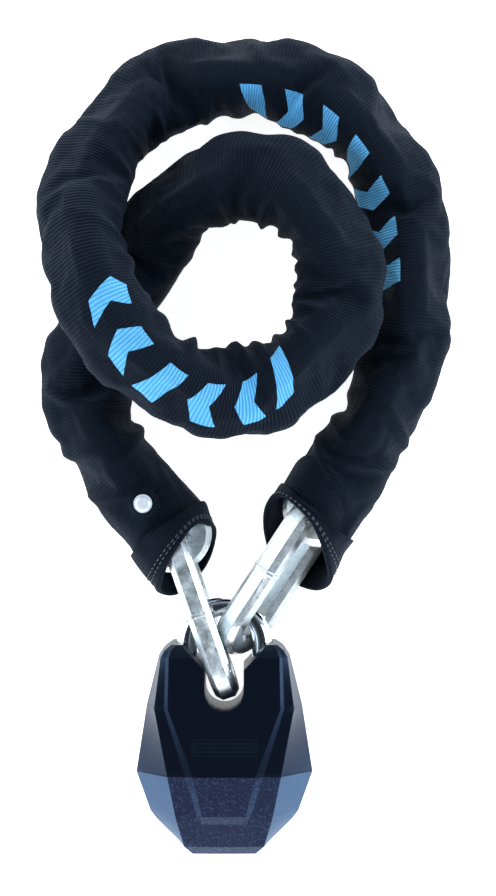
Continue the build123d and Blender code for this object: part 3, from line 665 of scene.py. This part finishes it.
def fill_ramp(ramp, stops):
    """Set a colour ramp's stops: position, RGB."""
    elements = ramp.elements
    for position, _ in stops[1:-1]:
        elements.new(position)
    for element, (position, color) in zip(elements, stops):
        element.position = position
        element.color = (*color, 1)


class Shader:
    """A material, kept in MATS, with short ways to add nodes to it."""

    def __init__(self, name):
        material = bpy.data.materials.new(name)
        material.use_nodes = True
        self.tree = material.node_tree
        MATS[name] = material

    def node(self, kind, **values):
        new = self.tree.nodes.new(kind)
        assign(new, **values)
        return new

    def put(self, socket, value):
        if isinstance(value, (int, float, tuple)):
            socket.default_value = value
        else:
            self.tree.links.new(value, socket)

    def math(self, op, a, b=0.0, c=0.0):
        new = self.node("ShaderNodeMath", operation=op)
        for socket, value in zip(new.inputs, (a, b, c)):
            self.put(socket, value)
        return new.outputs[0]

    def add(self, a, b):
        return self.math("ADD", a, b)

    def sub(self, a, b):
        return self.math("SUBTRACT", a, b)

    def mul(self, a, b):
        return self.math("MULTIPLY", a, b)

    def between(self, x, low, high):
        return self.mul(self.math("GREATER_THAN", x, low), self.math("LESS_THAN", x, high))

    def wave(self, phase):
        """Sine brought into 0 to 1."""
        return self.math("MULTIPLY_ADD", self.math("SINE", phase), 0.5, 0.5)

    def attribute(self, name):
        return self.node("ShaderNodeAttribute", attribute_name=name).outputs["Fac"]

    def coordinates(self, kind="Object"):
        return self.node("ShaderNodeTexCoord").outputs[kind]

    def noise(self, scale, detail, rough=0.5, vector=None):
        new = self.node("ShaderNodeTexNoise")
        self.put(new.inputs["Scale"], scale)
        self.put(new.inputs["Detail"], detail)
        self.put(new.inputs["Roughness"], rough)
        self.put(new.inputs["Vector"], self.coordinates() if vector is None else vector)
        return new.outputs["Fac"]

    def ramp(self, fac, low, high):
        """0 up to low, 1 from high."""
        new = self.node("ShaderNodeValToRGB")
        fill_ramp(new.color_ramp, [(low, (0.0,) * 3), (high, (1.0,) * 3)])
        self.put(new.inputs[0], fac)
        return new.outputs[0]

    def mix(self, fac, a, b):
        new = self.node("ShaderNodeMix", data_type="RGBA")
        self.put(new.inputs[0], fac)
        for i, color in ((6, a), (7, b)):
            self.put(new.inputs[i], (*color, 1.0) if isinstance(color, tuple) else color)
        return new.outputs[2]

    def bump(self, height, distance, strength):
        new = self.node("ShaderNodeBump")
        self.put(new.inputs["Strength"], strength)
        self.put(new.inputs["Distance"], distance)
        self.put(new.inputs["Height"], height)
        return new.outputs[0]

    def set(self, **values):
        """Set the surface's inputs; colours are RGB."""
        for key, value in values.items():
            socket = self.tree.nodes["Principled BSDF"].inputs[key.replace("_", " ")]
            self.put(socket, (*value, 1.0) if isinstance(value, tuple) else value)


# Printed marks (mm): s range, middle line round the tube as
# centre + bow * ((s - bow_s) / 50)^2, half height across, pitch along, mirrored or not.
PRINTS = [
    dict(start=366.0, end=482.0, centre=-8.0, bow=12.0, bow_s=417.0, half=12.0, pitch=19.4,
         flip=False),
    dict(start=646.0, end=806.0, centre=19.5, bow=0.0, bow_s=700.0, half=12.0, pitch=22.9,
         flip=True),
]


def print_mask(m, s, v, start, end, centre, bow, bow_s, half, pitch, flip):
    """1 inside one run of marks; s is along the tube and v round it."""
    x = m.math("DIVIDE", m.sub(s, start), pitch)
    from_bow = m.math("DIVIDE", m.math("ABSOLUTE", m.sub(s, bow_s)), 50.0)
    edge = m.math("MULTIPLY_ADD", m.math("POWER", from_bow, 2.0), bow, centre - half)
    cell = m.math("FRACT", x)
    number = m.math("FLOOR", x)
    y = m.math("DIVIDE", m.sub(v, edge), 2 * half)
    if flip:
        y = m.sub(1.0, y)
    inside = m.mul(m.between(s, start, end), m.between(y, 0.0, 1.0))
    # pointed band: slants one way below the middle and the other way above it
    lean = m.mul(m.math("ABSOLUTE", m.sub(y, 0.5)), 0.52)
    band = m.between(m.add(cell, lean), 0.40, 0.86)
    # every third mark is a solid slanted bar
    bar = m.between(m.add(cell, m.mul(m.sub(y, 0.5), 0.30)), 0.26, 0.76)
    third = m.math("LESS_THAN", m.math("MODULO", number, 3.0), 0.5)
    return m.mul(m.add(m.mul(third, bar), m.mul(m.sub(1.0, third), band)), inside)


def fabric(name, base, rib, prints=()):
    """Woven cloth; rib is the rib pitch (mm)."""
    m = Shader(name)
    s = m.attribute("along")
    angle = m.math("ARCTAN2", m.attribute("sina"), m.attribute("cosa"))
    v = m.mul(angle, ARC_RADIUS)
    # ribs run round the tube; a finer cross yarn, staggered row by row, breaks them up
    wobble = m.mul(m.noise(scale=60.0, detail=2.0), 1.1)
    ribs = m.wave(m.add(m.mul(s, 2 * math.pi / rib), wobble))
    row = m.math("FLOOR", m.math("DIVIDE", s, rib))
    stagger = m.mul(m.math("MODULO", row, 2.0), math.pi)
    yarn_pitch = 1.15
    yarn = m.wave(m.add(m.mul(v, 2 * math.pi / yarn_pitch), stagger))
    fuzz = m.noise(scale=2600.0, detail=2.0)
    height = m.add(m.mul(m.math("POWER", ribs, 0.8), 0.72), m.mul(yarn, 0.2))
    height = m.add(height, m.mul(fuzz, 0.16))
    # painted shade between the ribs and painted highlight on their crests; paler in worn patches
    wear = m.noise(scale=28.0, detail=4.0)
    rib_shade_and_highlight = m.mix(m.math("POWER", ribs, 1.6), scaled(base, 0.42), scaled(base, 1.75))
    color = m.mix(m.mul(wear, 0.45), rib_shade_and_highlight, scaled(base, 1.5))
    if prints:
        masks = [print_mask(m, s, v, **marks) for marks in prints]
        mask = m.math("MAXIMUM", *masks)
        # print colour, with painted shade between the ribs and painted highlight on their crests
        ink_with_rib_shade = m.mix(m.math("POWER", ribs, 1.0), (0.080, 0.33, 0.66), (0.17, 0.56, 0.86))
        color = m.mix(m.mul(mask, m.math("MULTIPLY_ADD", fuzz, 0.12, 0.90)), color, ink_with_rib_shade)
    m.set(Base_Color=color, Roughness=0.78,
          Normal=m.bump(height, distance=0.00060, strength=1.0),
          Specular_IOR_Level=0.16, Specular_Tint=(0.45, 0.68, 1.0),
          Sheen_Weight=0.07, Sheen_Roughness=0.40, Sheen_Tint=(0.55, 0.62, 0.85))


def plastic(name, base, rough, grain, scale, spec, speck, side=None, glint=0.0):
    """Grained plastic: grain is its depth (m), speck its contrast, side the painted light colour
    of the flanks.
    """
    m = Shader(name)
    fine = m.noise(scale=scale, detail=2.0, rough=0.6)
    coarse = m.noise(scale=scale * 0.35, detail=2.0)
    patches = m.noise(scale=18.0, detail=3.0)
    height = m.add(m.mul(fine, 0.7), m.mul(coarse, 0.4))
    roughness = m.math("MULTIPLY_ADD", patches, 0.10, rough - 0.05)
    color = m.mix(m.mul(fine, 1.0), scaled(base, 1 - speck), scaled(base, 1 + speck))
    if side:
        # painted light: faces turned towards +X or -X, where the side lamps fall, are painted
        # paler
        axes = m.node("ShaderNodeSeparateXYZ")
        m.put(axes.inputs[0], m.coordinates("Normal"))
        painted_flank_light = m.ramp(m.math("ABSOLUTE", axes.outputs[0]), low=0.30, high=0.55)
        color = m.mix(painted_flank_light, color, side)
    if glint:
        # painted glints: pale specks scattered through the grain
        painted_glint_specks = m.ramp(m.noise(scale=scale * 0.8, detail=1.0), low=0.52, high=0.70)
        color = m.mix(m.mul(painted_glint_specks, glint), color, (0.13, 0.16, 0.30))
    m.set(Base_Color=color, Roughness=roughness, Normal=m.bump(height, grain, strength=0.8),
          Specular_IOR_Level=spec, Specular_Tint=(0.42, 0.66, 1.0))


def metal(name, dark, light, rough, scale, bump=0.00002, metallic=1.0):
    """Mottled metal: rough is the roughness of the dark and of the light patches."""
    m = Shader(name)
    place = m.coordinates()
    patches = m.noise(scale=scale, detail=6.0, rough=0.62, vector=place)
    fine = m.noise(scale=scale * 6, detail=3.0, rough=0.6, vector=place)
    fac = m.ramp(m.add(m.mul(patches, 0.75), m.mul(fine, 0.25)), low=0.34, high=0.66)
    color = m.mix(fac, dark, light)
    roughness = m.math("MULTIPLY_ADD", fac, rough[1] - rough[0], rough[0])
    m.set(Base_Color=color, Roughness=roughness, Metallic=metallic,
          Normal=m.bump(fine, bump, strength=0.7))


# side is painted light: a paler colour painted on the covers' flanks
plastic("cover_smooth", base=(0.0022, 0.0030, 0.0068), rough=0.36, grain=0.000035,
        scale=900.0, spec=0.26, speck=0.06, side=(0.0080, 0.0130, 0.0300))
plastic("cover_grained", base=(0.0070, 0.0062, 0.0230), rough=0.52, grain=0.00022,
        scale=1100.0, spec=0.55, speck=0.5, side=(0.044, 0.080, 0.138), glint=0.20)
plastic("badge_plate", base=(0.0036, 0.0052, 0.0105), rough=0.34, grain=0.00002,
        scale=900.0, spec=0.5, speck=0.05)
metal("block_steel", dark=(0.34, 0.35, 0.37), light=(0.50, 0.51, 0.53),
      rough=(0.30, 0.42), scale=160.0)
metal("chrome", dark=(0.80, 0.81, 0.83), light=(0.90, 0.91, 0.93),
      rough=(0.05, 0.09), scale=240.0, bump=0.000006)
metal("zinc_flat", dark=(0.40, 0.44, 0.44), light=(0.86, 0.90, 0.89),
      rough=(0.34, 0.62), scale=150.0, bump=0.00006, metallic=0.82)
# brighter, smoother copy of the same zinc for the links' cut corners: painted highlight
metal("zinc_painted_highlight", dark=(0.84, 0.87, 0.87), light=(0.95, 0.97, 0.97),
      rough=(0.22, 0.36), scale=260.0, bump=0.00003, metallic=0.9)
metal("rivet_cap", dark=(0.80, 0.84, 0.86), light=(0.92, 0.95, 0.96),
      rough=(0.42, 0.55), scale=260.0, bump=0.00001, metallic=0.55)
metal("brass_cylinder", dark=(0.60, 0.44, 0.18), light=(0.78, 0.62, 0.32),
      rough=(0.22, 0.34), scale=200.0)
metal("disc_steel", dark=(0.50, 0.50, 0.50), light=(0.68, 0.68, 0.68),
      rough=(0.24, 0.36), scale=220.0)
metal("screw_steel", dark=(0.09, 0.09, 0.10), light=(0.16, 0.16, 0.17),
      rough=(0.32, 0.46), scale=220.0)
plastic("seal_rubber", base=(0.012, 0.012, 0.012), rough=0.72, grain=0.00003,
        scale=900.0, spec=0.3, speck=0.1)
fabric("sleeve_fabric", base=(0.0022, 0.0033, 0.0060), rib=1.5, prints=PRINTS)
fabric("cuff_fabric", base=(0.0020, 0.0029, 0.0052), rib=1.4)
Shader("thread").set(Base_Color=(0.045, 0.047, 0.058), Roughness=0.6, Sheen_Weight=0.2)


# ---- finish of the CAD pieces --------------------------------------------
def painted_highlight_corners(mesh):
    """1 for the cut corners of a link, given a brighter copy of the zinc as painted highlight; 0
    for its flats and edges.
    """
    normals = read_triples(mesh.polygons, "normal")
    areas = np.zeros(len(mesh.polygons))
    mesh.polygons.foreach_get("area", areas)
    # the link's flat faces the way most of its area does
    largest = normals[np.argsort(-areas)[:12]]
    axis = max(largest, key=lambda n: areas[np.abs(normals @ n) > 0.999].sum())
    facing = np.abs(normals @ axis)
    return ((facing > 0.25) & (facing < 0.9)).astype(np.int32)


SLOTS = {part["node"]: part["material_slot"] for part in frame["record"]["subparts"]}
for name, obj in nodes.items():
    slot = SLOTS[name]
    materials = obj.data.materials
    materials.clear()
    if slot == "zinc_link":
        materials.append(MATS["zinc_flat"])
        materials.append(MATS["zinc_painted_highlight"])
        # cut corners get the brighter copy of the zinc as painted highlight
        obj.data.polygons.foreach_set("material_index", painted_highlight_corners(obj.data))
    elif name in ("rivet_left", "rivet_right"):
        materials.append(MATS["rivet_cap"])
    else:
        materials.append(MATS[slot])
    obj.data.update()

# piece, width of its rounded edges (mm), least angle rounded (degrees)
for name, width, angle in (("cover_upper", 0.7, 14), ("cover_lower", 0.6, 14),
                           ("end_link_left", 0.35, 28), ("end_link_right", 0.35, 28),
                           ("badge", 0.15, 28)):
    modifiers = nodes[name].modifiers
    modifiers.new("weld", "WELD").merge_threshold = 1e-5
    assign(modifiers.new("round_edges", "BEVEL"), width=width * MM, segments=3,
           limit_method="ANGLE", angle_limit=math.radians(angle),
           harden_normals=True, use_clamp_overlap=True)

# object, material, slot, CAD piece replaced
for obj, material, slot, replaced in (
        (sleeve, "sleeve_fabric", "sleeve_fabric", "sleeve"),
        (cuffs["left"][0], "cuff_fabric", "cuff_fabric", "cuff_left"),
        (cuffs["right"][0], "cuff_fabric", "cuff_fabric", "cuff_right"),
        (threads["left"], "thread", "cuff_fabric", None),
        (threads["right"], "thread", "cuff_fabric", None)):
    obj.data.materials.append(MATS[material])
    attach(obj, "coil")
    if replaced:
        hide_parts(replaced)


# ---- floor, lights, surroundings, camera ---------------------------------
def build_floor(half=6, z=-0.0004):
    mesh = bpy.data.meshes.new("floor")
    corners = [(-half, -half, z), (half, -half, z), (half, half, z), (-half, half, z)]
    mesh.from_pydata(corners, [], [(0, 1, 2, 3)])
    floor = add_object("floor", mesh)
    Shader("floor_white").set(Base_Color=(0.80, 0.80, 0.80), Roughness=0.9,
                              Specular_IOR_Level=0.05, Emission_Color=(1.0, 1.0, 1.0),
                              Emission_Strength=0.90)
    mesh.materials.append(MATS["floor_white"])


def area_light(name, place, size, size_y, energy, color=(1, 1, 1), aim=(0.01, 0.14, 0.02)):
    light = bpy.data.lights.new(name, "AREA")
    assign(light, shape="RECTANGLE", size=size, size_y=size_y, energy=energy, color=color)
    obj = bpy.data.objects.new(name, light)
    obj.location = place
    obj.rotation_euler = (Vector(aim) - Vector(place)).to_track_quat("-Z", "Y").to_euler()
    bpy.context.scene.collection.objects.link(obj)


def build_world():
    """Bright below and at the horizon, dark overhead, slightly blue."""
    world = bpy.data.worlds.new("studio")
    world.use_nodes = True
    tree = world.node_tree
    background = tree.nodes["Background"]
    place = tree.nodes.new("ShaderNodeTexCoord")
    axes = tree.nodes.new("ShaderNodeSeparateXYZ")
    tree.links.new(place.outputs["Generated"], axes.inputs[0])
    ramp = tree.nodes.new("ShaderNodeValToRGB")
    tree.links.new(axes.outputs["Z"], ramp.inputs[0])
    # height of the direction, brightness
    stops = ((0.0, 0.9), (0.30, 0.95), (0.62, 0.34), (0.90, 0.06), (1.0, 0.035))
    fill_ramp(ramp.color_ramp, [(z, scaled((0.72, 0.87, 1.03), k)) for z, k in stops])
    tree.links.new(ramp.outputs[0], background.inputs[0])
    background.inputs["Strength"].default_value = 1.0
    bpy.context.scene.world = world


def build_camera():
    """Looks straight down, with +Y up the picture."""
    camera = bpy.data.cameras.new("camera")
    assign(camera, lens=69.9, sensor_width=36.0, clip_start=0.01, clip_end=50)
    obj = add_object("camera", camera)
    obj.location = (0.01175, 0.150, 0.890)
    bpy.context.scene.camera = obj


PALE_BLUE = (0.66, 0.82, 1.0)
build_floor()
area_light("side_left", (-1.15, 0.25, 0.42), size=0.55, size_y=1.3, energy=17, color=PALE_BLUE)
area_light("side_right", (1.15, 0.15, 0.38), size=0.55, size_y=1.3, energy=20, color=PALE_BLUE)
area_light("far_low", (0.0, 1.35, 0.50), size=1.2, size_y=0.45, energy=10)
area_light("near_low", (0.0, -1.05, 0.42), size=1.2, size_y=0.40, energy=12)
area_light("top_left", (-0.55, 0.70, 1.25), size=0.35, size_y=0.35, energy=3.0)
build_world()
build_camera()
assign(bpy.context.scene.view_settings, view_transform="Standard", look="None", exposure=0.0)
